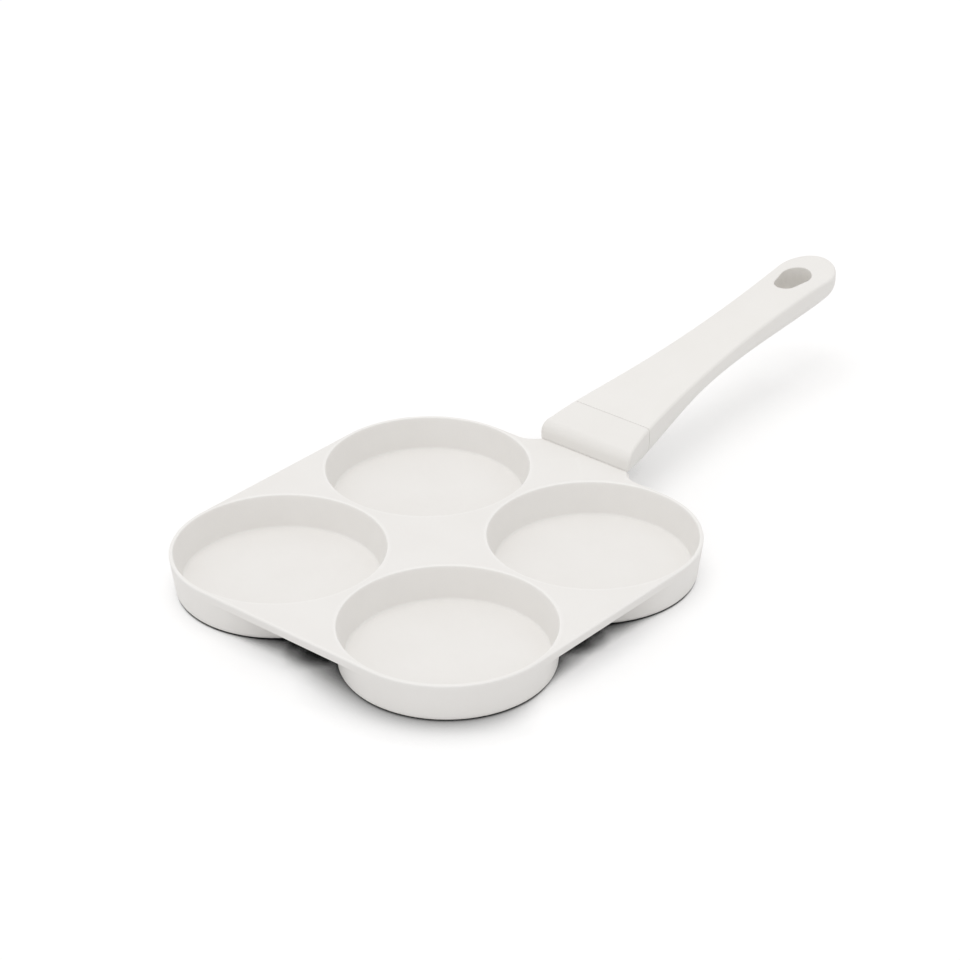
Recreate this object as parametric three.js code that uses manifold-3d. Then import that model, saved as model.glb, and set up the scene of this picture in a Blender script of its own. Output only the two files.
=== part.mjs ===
import * as THREE from 'three';
import { mergeVertices } from 'three/addons/utils/BufferGeometryUtils.js';
import Module from 'manifold-3d';

// Four-hole burger pan: a cast body with four cups and a cranked tang, a collar, a moulded grip
// and two screws from below. Millimetres, +Z up, feet on z = 0.
// Everything is worked out about the middle of the four cups, and the finished pan is shifted
// along X at the end, so that the origin lies under the middle of its whole length.

// Cups
const CUP_PITCH = 95.3; // between the middles of neighbouring cups
const MOUTH_RADIUS = 46; // inside, at the plate's top
const CUP_DEPTH = 14.8; // from the plate's top to the cooking floor
const FLOOR_THICKNESS = 3.8;
const RIM_WIDTH = 1.75; // metal left outside a mouth at the plate's corner
const WELL_DRAFT_DEGREES = 12; // taper of a cup's inside
const OUTER_DRAFT_DEGREES = 7.5; // taper of the cups' outside and of the skirt
const FLOOR_FILLET = 2; // inside, between wall and floor
const FOOT_ROUND = 3; // outside, round the foot
const LIP_ROUND = 0.7; // at the mouth

// Plate
const PLATE_THICKNESS = 3.2;
const SKIRT_HEIGHT = 4.7; // the edge band, from the plate's top down
const SKIRT_WIDTH = 2.4;
const EDGE_ROUND = 1; // along the plate's top edge
const LUG_REACH = 5; // how far the lug stands out from the plate's straight edge
const FLARE_LENGTH = 9; // hollow flare from the straight edge into the lug

// Handle, as seen from above
const COLLAR_LENGTH = 19.3;
const GRIP_LENGTH = 165;
const FRONT_WIDTH = 50.6; // at the collar's front, inside its foot's flare
const FOOT_FLARE = 0.9; // how far the collar's foot spreads to each side, up to the lug
const FOOT_FLARE_LENGTH = 8;
const WAIST_WIDTH = 26.6;
const TAIL_WIDTH = 29.6; // where the round end begins
const WAIST_DISTANCE = 105; // from the seam to the narrowest place

// Handle, as seen from the side: heights of its top above the plate, and thicknesses there
const FRONT_TOP = 7.6;
const FRONT_THICKNESS = 11.3;
const SEAM_TOP = 12.5;
const SEAM_THICKNESS = 17.9;
const HOLLOW_DISTANCE = 54; // from the seam to the hollow under the grip
const HOLLOW_TOP = 19.9;
const HOLLOW_THICKNESS = 11.8;
const TAIL_DISTANCE = 140; // from the seam to the hanging hole's side of the tail
const TAIL_TOP = 30.8;
const TAIL_THICKNESS = 15.1;
const END_TOP = 32.9;
const END_THICKNESS = 9;

// Handle section
const TOP_ROUND = 1.5; // along both top edges
const FRONT_SIDE_SHARE = 0.36; // upright share of the height under the top round, at the collar's front
const SIDE_SHARE = 0.3; // the same from the seam on
const TAIL_CROWN = 1.9; // the top's rise from its edges to its middle, growing from the seam to the tail
const UNDERSIDE_SQUARENESS = 3; // 2 is an ellipse, and more is fuller at the corners
const NOSE_ROUND = 4; // collar's front, top edge
const CHEEK_ROUND = 1.5; // collar's front, sides and underside
const COLLAR_WALL = 2.2;
const SPIGOT_LENGTH = 4; // grip's reduced end inside the collar

// Hanging hole
const HOLE_LENGTH = 21.4;
const HOLE_WIDTH = 15;
const HOLE_TIP_RADIUS = 5.7; // towards the pan
const HOLE_MARGIN = 15; // from the hole to the tail's end

// Tang
const TANG_WIDTH = 22;
const TANG_THICKNESS = 4.2;
const TANG_COVER = 3.5; // from the handle's top down to the tongue
const TANG_INSERT = 27; // length inside the grip, past the seam
const CRANK_LENGTH = 11; // from the collar's front to the tongue's straight stretch
const CRANK_SHIFT = 2.5; // the crank's underside bends this much later than its top
const ROOT_DROP = 0.5; // root's top below the plate's top
const NOTCH_LENGTH = 7; // opening under the collar's front for the tang's root

// Fasteners: M4 pan-head screws with split and flat washers
const SCREW_RADIUS = 2;
const HEAD_RADIUS = 4;
const HEAD_HEIGHT = 3.1;
const HEAD_RIM = 1.5; // upright part of the head
const RECESS_SPAN = 4.4; // cross recess, tip to tip
const RECESS_SLOT = 1.1;
const RECESS_DEPTH = 1.8;
const SPRING_RADIUS = 3.8;
const SPRING_THICKNESS = 0.9;
const SPRING_SLIT = 0.6;
const SPRING_SLIT_DEGREES = 20;
const FLAT_RADIUS = 4.5;
const FLAT_THICKNESS = 0.8;
const SCREW_OFFSET = 6.5; // from the seam to the front screw
const SCREW_SPACING = 11.5;
const SEAT_WEB = 1.6; // moulding between the washers and the tang
const SCREW_TIP_INSET = 0.5; // screw's end below the tongue's upper face
const HEAD_ROOM = 0.4; // round the flat washer in its recess

const CLEARANCE = 0.3; // between pieces that touch

// Facets
const CUP_SIDES = 48;
const CORNER_STEPS = 6; // half the facets of a corner or a flare
const BORE_SIDES = 24;
const HOLE_STEPS = 12; // half the facets of each of the hanging hole's two rounds
const ROUND_STEPS = 3; // per small round
const UNDERSIDE_STEPS = 10;
const CROWN_STEPS = 4;
const GRIP_STATIONS = 14;
const COLLAR_STATIONS = 4;
const TAIL_STATIONS = 7;
const TAIL_LAST_DEGREES = 85; // the round end's last section
const CUT_MARGIN = 2; // how far a cutting solid runs past what it cuts
const SKIRT_LAP = 0.08; // how far a cup's outside lies inside the skirt's face

// Places that follow from the sizes
const wellDraft = Math.tan(THREE.MathUtils.degToRad(WELL_DRAFT_DEGREES));
const outerDraft = Math.tan(THREE.MathUtils.degToRad(OUTER_DRAFT_DEGREES));
const plateTop = CUP_DEPTH + FLOOR_THICKNESS;
const cornerRadius = MOUTH_RADIUS + RIM_WIDTH;
const plateEdge = CUP_PITCH / 2 + cornerRadius;
const lugEnd = plateEdge + LUG_REACH;
const collarFront = lugEnd + CLEARANCE;
const seam = collarFront + COLLAR_LENGTH;
const gripFront = seam + CLEARANCE;
const tailEnd = gripFront + GRIP_LENGTH;
const tailRadius = TAIL_WIDTH / 2;
const tailCentre = tailEnd - tailRadius;
const waist = seam + WAIST_DISTANCE;

const wasm = await Module();
wasm.setup();

// Solids and meshes

function toSolid(geometry) {
  const bare = new THREE.BufferGeometry();
  bare.setAttribute('position', geometry.getAttribute('position').clone());
  bare.setIndex(geometry.getIndex());
  const merged = mergeVertices(bare);
  const index = merged.getIndex().array;
  const triangles = [];
  for (let i = 0; i < index.length; i += 3) {
    const [a, b, c] = index.slice(i, i + 3);
    if (a !== b && b !== c && c !== a) {
      triangles.push(a, b, c);
    }
  }
  const vertProperties = new Float32Array(merged.getAttribute('position').array);
  const triVerts = new Uint32Array(triangles);
  return new wasm.Manifold(new wasm.Mesh({ numProp: 3, vertProperties, triVerts }));
}

function toMesh(name, solid, material) {
  const { vertProperties, triVerts } = solid.getMesh();
  const geometry = new THREE.BufferGeometry();
  geometry.setAttribute('position', new THREE.BufferAttribute(vertProperties, 3));
  geometry.setIndex(new THREE.BufferAttribute(triVerts, 1));
  geometry.computeVertexNormals();
  const mesh = new THREE.Mesh(geometry, material);
  mesh.name = name;
  return mesh;
}

// A closed skin over rings of equal counts, which run anticlockwise seen from the last ring's side
function loft(rings, flatten) {
  const count = rings[0].length;
  const positions = rings.flat().flatMap((point) => point.toArray());
  const index = [];
  for (let ring = 0; ring < rings.length - 1; ring += 1) {
    for (let i = 0; i < count; i += 1) {
      const next = (i + 1) % count;
      const [a, b] = [ring * count + i, ring * count + next];
      const [c, d] = [b + count, a + count];
      index.push(a, b, d, b, c, d);
    }
  }
  const last = (rings.length - 1) * count;
  for (const [a, b, c] of THREE.ShapeUtils.triangulateShape(rings[0].map(flatten), [])) {
    index.push(c, b, a);
  }
  for (const [a, b, c] of THREE.ShapeUtils.triangulateShape(rings.at(-1).map(flatten), [])) {
    index.push(last + a, last + b, last + c);
  }
  const geometry = new THREE.BufferGeometry();
  geometry.setAttribute('position', new THREE.Float32BufferAttribute(positions, 3));
  geometry.setIndex(index);
  return geometry;
}

// A profile of [radius, height] pairs, from the bottom up, turned about Z
function turned(profile, sides) {
  const points = profile.map(([radius, height]) => new THREE.Vector2(radius, height));
  return new THREE.LatheGeometry(points, sides).rotateX(Math.PI / 2);
}

function rod(radius, low, high) {
  return turned([[0, low], [radius, low], [radius, high], [0, high]], BORE_SIDES);
}

function washer(inner, outer, low, high) {
  return turned([[inner, low], [outer, low], [outer, high], [inner, high], [inner, low]], BORE_SIDES);
}

// A side view in X and Z, pushed out to both sides of the middle plane
function sideExtrude(points, width) {
  const shape = new THREE.Shape(points.map(([x, z]) => new THREE.Vector2(x, z)));
  const geometry = new THREE.ExtrudeGeometry(shape, { depth: width, bevelEnabled: false });
  return geometry.rotateX(Math.PI / 2).translate(0, width / 2, 0);
}

// Points of a round from one angle to another, as [radius, height] pairs
function arc(radius, height, round, fromDegrees, toDegrees) {
  const points = [];
  for (let step = 0; step <= ROUND_STEPS; step += 1) {
    const degrees = fromDegrees + ((toDegrees - fromDegrees) * step) / ROUND_STEPS;
    const angle = THREE.MathUtils.degToRad(degrees);
    points.push([radius + round * Math.cos(angle), height + round * Math.sin(angle)]);
  }
  return points;
}

// Handle lines

// A smooth line through stations of [x, value]
function smoothLine(stations) {
  const slope = (i) => (stations[i + 1][1] - stations[i][1]) / (stations[i + 1][0] - stations[i][0]);
  const last = stations.length - 1;
  const tangents = stations.map((station, i) => {
    if (i === 0 || i === last) {
      return 0;
    }
    const [before, after] = [stations[i - 1], stations[i + 1]];
    return (after[1] - before[1]) / (after[0] - before[0]);
  });
  tangents[0] = 2 * slope(0) - tangents[1];
  tangents[last] = 2 * slope(last - 1) - tangents[last - 1];
  return (x) => {
    let i = 0;
    while (i < last - 1 && x > stations[i + 1][0]) {
      i += 1;
    }
    const span = stations[i + 1][0] - stations[i][0];
    const t = (x - stations[i][0]) / span;
    const rise = t * t * (3 - 2 * t);
    const bend = t * (1 - t) * ((1 - t) * tangents[i] - t * tangents[i + 1]) * span;
    return stations[i][1] * (1 - rise) + stations[i + 1][1] * rise + bend;
  };
}

const topStations = [
  [collarFront, plateTop + FRONT_TOP],
  [seam, plateTop + SEAM_TOP],
  [seam + HOLLOW_DISTANCE, plateTop + HOLLOW_TOP],
  [seam + TAIL_DISTANCE, plateTop + TAIL_TOP],
  [tailEnd, plateTop + END_TOP],
];
const thicknesses = [FRONT_THICKNESS, SEAM_THICKNESS, HOLLOW_THICKNESS, TAIL_THICKNESS, END_THICKNESS];
const handleTop = smoothLine(topStations);
const handleBottom = smoothLine(topStations.map(([x, top], i) => [x, top - thicknesses[i]]));

// Half the width at x, with no round end: parabolas that meet at the waist, and the foot's flare
function straightHalfWidth(x) {
  const [width, from] = x < waist ? [FRONT_WIDTH, collarFront] : [TAIL_WIDTH, tailCentre];
  const share = (x - waist) / (from - waist);
  const flare = Math.max(collarFront + FOOT_FLARE_LENGTH - x, 0) / FOOT_FLARE_LENGTH;
  return (WAIST_WIDTH + (width - WAIST_WIDTH) * share * share) / 2 + FOOT_FLARE * flare * flare;
}

// Upright share of the side, which fades along the collar
function sideShare(x) {
  const fade = THREE.MathUtils.clamp((seam - x) / COLLAR_LENGTH, 0, 1);
  return SIDE_SHARE + (FRONT_SIDE_SHARE - SIDE_SHARE) * fade;
}

// One section of the handle, anticlockwise seen from the tail. The insets draw in its outline.
function section(x, sideInset, topInset, bottomInset) {
  const past = Math.max(x - tailCentre, 0) / tailRadius;
  const taper = Math.sqrt(1 - past * past);
  const half = (past > 0 ? tailRadius : straightHalfWidth(x)) * taper - sideInset;
  const toEnd = Math.min(tailEnd - x, TOP_ROUND);
  const endDrop = TOP_ROUND - Math.sqrt(TOP_ROUND ** 2 - (TOP_ROUND - toEnd) ** 2);
  const crown = (TAIL_CROWN * taper * taper * Math.max(x - seam, 0)) / (tailEnd - seam);
  const edge = handleTop(x) - topInset - endDrop - crown;
  const round = Math.min(TOP_ROUND, half);
  const flat = half - round;
  const low = handleBottom(x) + bottomInset;
  const shoulder = edge - round - sideShare(x) * (edge - round - low);
  const fullness = (1 - past ** UNDERSIDE_SQUARENESS) ** (1 / UNDERSIDE_SQUARENESS);
  const depth = (shoulder - low) * fullness;
  const ring = [];
  const add = (y, z) => ring.push(new THREE.Vector3(x, y, z));
  for (const [y, z] of arc(flat, edge - round, round, 0, 90)) {
    add(y, z);
  }
  for (let step = 1; step < CROWN_STEPS; step += 1) {
    const across = 1 - (2 * step) / CROWN_STEPS;
    add(flat * across, edge + crown * (1 - across * across));
  }
  for (const [y, z] of arc(flat, edge - round, round, 90, 0)) {
    add(-y, z);
  }
  for (let step = 0; step <= UNDERSIDE_STEPS; step += 1) {
    const angle = (Math.PI * step) / UNDERSIDE_STEPS;
    const across = Math.sign(Math.cos(angle)) * Math.abs(Math.cos(angle)) ** (2 / UNDERSIDE_SQUARENESS);
    add(-half * across, shoulder - depth * Math.sin(angle) ** (2 / UNDERSIDE_SQUARENESS));
  }
  return ring;
}

function evenStations(from, to, count) {
  return Array.from({ length: count + 1 }, (unused, i) => from + ((to - from) * i) / count);
}

function handleLoft(rings) {
  return toSolid(loft(rings, (point) => new THREE.Vector2(point.y, point.z)));
}

function insetLoft(from, to, inset) {
  const stations = evenStations(from, to, COLLAR_STATIONS);
  return handleLoft(stations.map((x) => section(x, inset, inset, inset)));
}

// Tang: a crank inside the collar, then a straight tongue into the grip
const tongueFrom = collarFront + CRANK_LENGTH;
const tongueTo = seam + TANG_INSERT;
const tongueFromTop = handleTop(tongueFrom) - TANG_COVER;
const tongueToTop = handleTop(tongueTo) - TANG_COVER;
const tongueAngle = Math.atan2(tongueToTop - tongueFromTop, tongueTo - tongueFrom);
const tongueDepth = TANG_THICKNESS / Math.cos(tongueAngle);

function tangProfile(gap) {
  const slack = gap / Math.cos(tongueAngle);
  const tip = tongueTo + gap;
  const tipTop = tongueToTop + gap * Math.tan(tongueAngle) + slack;
  const underFrom = tongueFrom + CRANK_SHIFT;
  const underFromZ = tongueFromTop + CRANK_SHIFT * Math.tan(tongueAngle) - tongueDepth - slack;
  return [
    [plateEdge, plateTop - SKIRT_HEIGHT + ROOT_DROP - gap],
    [collarFront + COLLAR_WALL, plateTop - SKIRT_HEIGHT + ROOT_DROP - gap],
    [underFrom, underFromZ],
    [tip, tipTop - tongueDepth - 2 * slack],
    [tip, tipTop],
    [tongueFrom, tongueFromTop + slack],
    [collarFront + COLLAR_WALL, plateTop - ROOT_DROP + gap],
    [plateEdge, plateTop - ROOT_DROP + gap],
  ];
}

// The tongue's own frame: X along it, Z out of its upper face, origin on its underside at the seam
const tongueUnderSeam = tongueFromTop + (seam - tongueFrom) * Math.tan(tongueAngle) - tongueDepth;
const tongueFrame = new THREE.Matrix4().makeRotationY(-tongueAngle);
tongueFrame.setPosition(seam, 0, tongueUnderSeam);
const screwPlaces = { front: SCREW_OFFSET, rear: SCREW_OFFSET + SCREW_SPACING };

// A geometry made about the Z axis, put at a screw's place on the tongue
function atScrew(geometry, along) {
  return toSolid(geometry.translate(along, 0, 0).applyMatrix4(tongueFrame));
}

const seat = -CLEARANCE - SEAT_WEB;
const flatLow = seat - CLEARANCE - FLAT_THICKNESS;
const springLow = flatLow - CLEARANCE - SPRING_THICKNESS;
const headHigh = springLow - CLEARANCE;
const headLow = headHigh - HEAD_HEIGHT;

// Pan body

// The plate's outline, drawn in by an inset
function plateOutline(inset, withLug) {
  const middle = CUP_PITCH / 2;
  const quarter = Math.PI / 2;
  const radius = cornerRadius - inset;
  const edge = plateEdge - inset;
  const lugHalf = FRONT_WIDTH / 2 + FOOT_FLARE - inset;
  const flare = FLARE_LENGTH + inset;
  const path = new THREE.Shape();
  path.absarc(middle, middle, radius, 0, quarter);
  path.absarc(-middle, middle, radius, quarter, 2 * quarter);
  path.absarc(-middle, -middle, radius, -2 * quarter, -quarter);
  path.absarc(middle, -middle, radius, -quarter, 0);
  if (withLug) {
    path.absellipse(edge + LUG_REACH, -lugHalf - flare, LUG_REACH, flare, 2 * quarter, quarter, true);
    path.absellipse(edge + LUG_REACH, lugHalf + flare, LUG_REACH, flare, -quarter, -2 * quarter, true);
  }
  path.closePath();
  return path;
}

function plateRing(inset, z) {
  const points = plateOutline(inset, true).getPoints(CORNER_STEPS);
  points.pop();
  return points.map((point) => new THREE.Vector3(point.x, point.y, z));
}

function makePlate() {
  const rings = [plateRing(SKIRT_HEIGHT * outerDraft, plateTop - SKIRT_HEIGHT)];
  for (const [along, z] of arc(-EDGE_ROUND, plateTop - EDGE_ROUND, EDGE_ROUND, 0, 90)) {
    rings.push(plateRing((plateTop - z) * outerDraft - along, z));
  }
  const pocketDepth = SKIRT_HEIGHT - PLATE_THICKNESS + CUT_MARGIN;
  const options = { depth: pocketDepth, bevelEnabled: false, curveSegments: CORNER_STEPS };
  const pocket = new THREE.ExtrudeGeometry(plateOutline(SKIRT_WIDTH, false), options);
  pocket.translate(0, 0, plateTop - PLATE_THICKNESS - pocketDepth);
  const plate = loft(rings, (point) => new THREE.Vector2(point.x, point.y));
  return toSolid(plate).subtract(toSolid(pocket));
}

// Outside of a cup, a little inside the skirt's own taper so that the two never share a face
function cupOutside() {
  const wall = (z) => cornerRadius - SKIRT_LAP - (plateTop - z) * outerDraft;
  const high = plateTop - PLATE_THICKNESS / 2;
  const foot = arc(wall(FOOT_ROUND) - FOOT_ROUND, FOOT_ROUND, FOOT_ROUND, -90, 0);
  return turned([[0, 0], ...foot, [wall(high), high], [0, high]], CUP_SIDES);
}

function cupInside() {
  const floor = FLOOR_THICKNESS;
  const wall = (z) => MOUTH_RADIUS - (plateTop - z) * wellDraft;
  const filletTop = floor + FLOOR_FILLET;
  const filletRadius = wall(filletTop) - FLOOR_FILLET;
  const fillet = arc(filletRadius, filletTop, FLOOR_FILLET, -90, -WELL_DRAFT_DEGREES);
  const lip = arc(wall(plateTop - LIP_ROUND) + LIP_ROUND, plateTop - LIP_ROUND, LIP_ROUND, 180, 90);
  const high = plateTop + CUT_MARGIN;
  return turned([[0, floor], ...fillet, ...lip, [lip.at(-1)[0], high], [0, high]], CUP_SIDES);
}

function cupPlaces() {
  const middle = CUP_PITCH / 2;
  return [[middle, middle], [-middle, middle], [-middle, -middle], [middle, -middle]];
}

function makePanBody() {
  let body = makePlate().add(toSolid(sideExtrude(tangProfile(0), TANG_WIDTH)));
  for (const [x, y] of cupPlaces()) {
    body = body.add(toSolid(cupOutside().translate(x, y, 0)));
  }
  for (const [x, y] of cupPlaces()) {
    body = body.subtract(toSolid(cupInside().translate(x, y, 0)));
  }
  for (const along of Object.values(screwPlaces)) {
    const bore = rod(SCREW_RADIUS + CLEARANCE, -CUT_MARGIN, TANG_THICKNESS + CUT_MARGIN);
    body = body.subtract(atScrew(bore, along));
  }
  return body;
}

// Collar

function makeCollar() {
  const rings = arc(0, 0, 1, 180, 90).map(([back, up]) => {
    const [drawnIn, along] = [1 - up, 1 + back];
    const cheek = CHEEK_ROUND * drawnIn;
    return section(collarFront + NOSE_ROUND * along, cheek, NOSE_ROUND * drawnIn, cheek);
  });
  const straight = evenStations(collarFront + NOSE_ROUND, seam, COLLAR_STATIONS).slice(1);
  for (const x of straight) {
    rings.push(section(x, 0, 0, 0));
  }
  const cavity = insetLoft(collarFront + COLLAR_WALL, seam + CUT_MARGIN, COLLAR_WALL);
  const notchTop = plateTop - ROOT_DROP + CLEARANCE;
  const notch = new THREE.BoxGeometry(NOTCH_LENGTH + CUT_MARGIN, TANG_WIDTH + 2 * CLEARANCE, notchTop);
  notch.translate(collarFront + (NOTCH_LENGTH - CUT_MARGIN) / 2, 0, notchTop / 2);
  return handleLoft(rings).subtract(cavity).subtract(toSolid(notch));
}

// Grip

function hangingHole() {
  const wide = HOLE_WIDTH / 2;
  const wideX = tailEnd - HOLE_MARGIN - wide;
  const tipX = tailEnd - HOLE_MARGIN - HOLE_LENGTH + HOLE_TIP_RADIUS;
  const lean = Math.PI / 2 + Math.asin((wide - HOLE_TIP_RADIUS) / (wideX - tipX));
  const shape = new THREE.Shape();
  shape.absarc(wideX, 0, wide, -lean, lean);
  shape.absarc(tipX, 0, HOLE_TIP_RADIUS, lean, 2 * Math.PI - lean);
  shape.closePath();
  const depth = plateTop + END_TOP + CUT_MARGIN;
  const options = { depth, bevelEnabled: false, curveSegments: HOLE_STEPS };
  return toSolid(new THREE.ExtrudeGeometry(shape, options));
}

function makeGrip() {
  const stations = evenStations(gripFront, tailCentre, GRIP_STATIONS);
  for (const degrees of evenStations(0, TAIL_LAST_DEGREES, TAIL_STATIONS).slice(1)) {
    stations.push(tailCentre + tailRadius * Math.sin(THREE.MathUtils.degToRad(degrees)));
  }
  const outside = handleLoft(stations.map((x) => section(x, 0, 0, 0)));
  const spigot = insetLoft(seam - SPIGOT_LENGTH, gripFront + SPIGOT_LENGTH, COLLAR_WALL + CLEARANCE);
  const socket = toSolid(sideExtrude(tangProfile(CLEARANCE), TANG_WIDTH + 2 * CLEARANCE));
  let grip = outside.add(spigot).subtract(socket).subtract(hangingHole());
  for (const along of Object.values(screwPlaces)) {
    grip = grip.subtract(atScrew(rod(SCREW_RADIUS + CLEARANCE, seat - CUT_MARGIN, 0), along));
    grip = grip.subtract(atScrew(rod(FLAT_RADIUS + HEAD_ROOM, headLow - plateTop, seat), along));
  }
  return grip;
}

// Fasteners

function makeScrew(along) {
  const dome = arc(0, 0, 1, -90, 0).map(([out, up]) => {
    return [HEAD_RADIUS * out, headHigh - HEAD_RIM + (HEAD_HEIGHT - HEAD_RIM) * up];
  });
  const tip = TANG_THICKNESS - SCREW_TIP_INSET;
  const profile = [...dome, [HEAD_RADIUS, headHigh], [SCREW_RADIUS, headHigh], [SCREW_RADIUS, tip], [0, tip]];
  let screw = atScrew(turned(profile, BORE_SIDES), along);
  for (const [x, y] of [[RECESS_SPAN, RECESS_SLOT], [RECESS_SLOT, RECESS_SPAN]]) {
    const slot = new THREE.BoxGeometry(x, y, RECESS_DEPTH + CUT_MARGIN);
    slot.translate(0, 0, headLow + (RECESS_DEPTH - CUT_MARGIN) / 2);
    screw = screw.subtract(atScrew(slot, along));
  }
  return screw;
}

function makeSpringWasher(along) {
  const springHigh = springLow + SPRING_THICKNESS;
  const ring = washer(SCREW_RADIUS + CLEARANCE, SPRING_RADIUS, springLow, springHigh);
  const slit = new THREE.BoxGeometry(2 * SPRING_RADIUS, SPRING_SLIT, 2 * SPRING_RADIUS);
  slit.rotateX(THREE.MathUtils.degToRad(SPRING_SLIT_DEGREES));
  slit.translate(SPRING_RADIUS, 0, springLow + SPRING_THICKNESS / 2);
  return atScrew(ring, along).subtract(atScrew(slit, along));
}

function makeFlatWasher(along) {
  const ring = washer(SCREW_RADIUS + CLEARANCE, FLAT_RADIUS, flatLow, flatLow + FLAT_THICKNESS);
  return atScrew(ring, along);
}

// Finishes

function creamCoat() {
  return new THREE.MeshStandardMaterial({ color: 0xebe7e0, roughness: 0.5, metalness: 0 });
}

function creamMoulding() {
  return new THREE.MeshStandardMaterial({ color: 0xebe8e1, roughness: 0.6, metalness: 0 });
}

function plainSteel() {
  return new THREE.MeshStandardMaterial({ color: 0xb4b6b8, roughness: 0.35, metalness: 1 });
}

// The whole pan

const pan = new THREE.Group();
pan.add(toMesh('pan_body', makePanBody(), creamCoat()));
pan.add(toMesh('neck_collar', makeCollar(), creamCoat()));
pan.add(toMesh('handle_grip', makeGrip(), creamMoulding()));
for (const [place, along] of Object.entries(screwPlaces)) {
  pan.add(toMesh(`${place}_screw`, makeScrew(along), plainSteel()));
  pan.add(toMesh(`${place}_spring_washer`, makeSpringWasher(along), plainSteel()));
  pan.add(toMesh(`${place}_flat_washer`, makeFlatWasher(along), plainSteel()));
}
const reach = new THREE.Box3().setFromObject(pan);
pan.position.x = -(reach.min.x + reach.max.x) / 2;

export default pan;
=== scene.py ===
# %% [markdown]
# # A four-hole burger pan
# The pan is a cream-coated casting with four round cups, a short collar, and a long moulded grip
# that two screws hold from below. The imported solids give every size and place. This lesson makes
# the surfaces that the eye sees: finer curves, soft edges, the coat's texture and studio light.

# %% Load the frame
import math

import bmesh
import bpy
import numpy as np
from mathutils import Matrix, Vector


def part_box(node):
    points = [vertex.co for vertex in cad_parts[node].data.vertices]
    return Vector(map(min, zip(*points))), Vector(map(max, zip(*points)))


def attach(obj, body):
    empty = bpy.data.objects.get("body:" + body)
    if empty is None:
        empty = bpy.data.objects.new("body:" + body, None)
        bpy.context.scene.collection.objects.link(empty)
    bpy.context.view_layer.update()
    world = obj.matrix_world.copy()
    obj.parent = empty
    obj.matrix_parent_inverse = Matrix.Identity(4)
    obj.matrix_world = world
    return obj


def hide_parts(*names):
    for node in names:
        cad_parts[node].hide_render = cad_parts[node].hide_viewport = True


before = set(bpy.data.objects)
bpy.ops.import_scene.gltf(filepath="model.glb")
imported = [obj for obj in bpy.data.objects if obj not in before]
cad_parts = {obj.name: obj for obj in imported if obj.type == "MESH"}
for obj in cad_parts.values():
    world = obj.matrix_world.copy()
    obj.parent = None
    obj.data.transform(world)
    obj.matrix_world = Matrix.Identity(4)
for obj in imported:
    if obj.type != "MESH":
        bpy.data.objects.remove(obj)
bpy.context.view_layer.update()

scene = bpy.context.scene
scene.view_settings.view_transform = "Standard"
print("nodes in the frame:", ", ".join(sorted(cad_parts)))

# %% [markdown]
# ## Where the pan lies
# Sizes are easiest to read in millimetres from the middle of the four cups, with the feet on zero.
# The frame's own origin lies under the middle of the whole length, so one helper carries a point
# from the first to the second. It measures the shift on the casting itself, so nothing is guessed.

# %% Sizes of the casting and the shift to the frame
CUP_PITCH = 95.3
MOUTH_RADIUS = 46.0
CUP_DEPTH = 14.8
FLOOR_THICKNESS = 3.8
RIM_WIDTH = 1.75
WELL_LEAN, OUTER_LEAN = 12.0, 7.5
EDGE_ROUND = 1.0

WELL_DRAFT = math.tan(math.radians(WELL_LEAN))
OUTER_DRAFT = math.tan(math.radians(OUTER_LEAN))

half_pitch = CUP_PITCH / 2
plate_top = CUP_DEPTH + FLOOR_THICKNESS
corner_radius = MOUTH_RADIUS + RIM_WIDTH
plate_edge = half_pitch + corner_radius
pan_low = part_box("pan_body")[0]
middle_x = pan_low[0] * 1000 + plate_edge - EDGE_ROUND * OUTER_DRAFT
print(f"the cups' middle lies at x = {middle_x:.2f} mm, the plate's top at z = {plate_top:.1f} mm")


def to_frame(points):
    """Millimetres about the cups' middle to metres in the frame."""
    return (np.asarray(points, dtype=float) + (middle_x, 0.0, 0.0)) / 1000


# %% [markdown]
# ## The camera
# The mouths are circles of one size on one plane, so their ellipses in the picture give the lens
# and the place of the camera. A long lens from the front left, a little under 30 degrees up, fits
# them all. Three unit vectors make the camera's rotation: right, up and back.

# %% Camera
AZIMUTH = math.radians(-49.18)
ELEVATION = math.radians(29.08)
ROLL = math.radians(-0.39)
DISTANCE = 1289.1
OFFSET_RIGHT = 18.4
OFFSET_UP = 25.9
FOCAL_LENGTH = 112.5
SENSOR_WIDTH = 36.0
FAR_CLIP = 20.0

back = Vector((
    math.sin(AZIMUTH) * math.cos(ELEVATION),
    -math.cos(AZIMUTH) * math.cos(ELEVATION),
    math.sin(ELEVATION),
))
level_right = Vector((math.cos(AZIMUTH), math.sin(AZIMUTH), 0.0))
level_up = back.cross(level_right)
right = math.cos(ROLL) * level_right + math.sin(ROLL) * level_up
up = -math.sin(ROLL) * level_right + math.cos(ROLL) * level_up
spot = back * DISTANCE + right * OFFSET_RIGHT + up * OFFSET_UP + Vector((0.0, 0.0, plate_top))
turned = Matrix((right, up, back)).transposed().to_4x4()

lens = bpy.data.cameras.new("studio_camera")
lens.lens = FOCAL_LENGTH
lens.sensor_width = SENSOR_WIDTH
lens.clip_end = FAR_CLIP
camera = bpy.data.objects.new("studio_camera", lens)
scene.collection.objects.link(camera)
camera.matrix_world = Matrix.Translation(to_frame(spot)) @ turned
scene.camera = camera
print("camera at", [round(v, 3) for v in camera.location])

# %% [markdown]
# ## Floor and light
# The pan stands on a white sweep under a wide soft light from above. A small lamp would give a hard
# shadow. A sun with a very wide angle is even all over the floor and soft at the same time, and a
# bright sky fills the sides. To the camera the sky is brighter still, as white as the floor.
#
# Such light alone leaves the floor between the cups too pale. So the floor also darkens where the
# casting is close above it, widely before the front cup and narrowly towards the handle.

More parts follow.
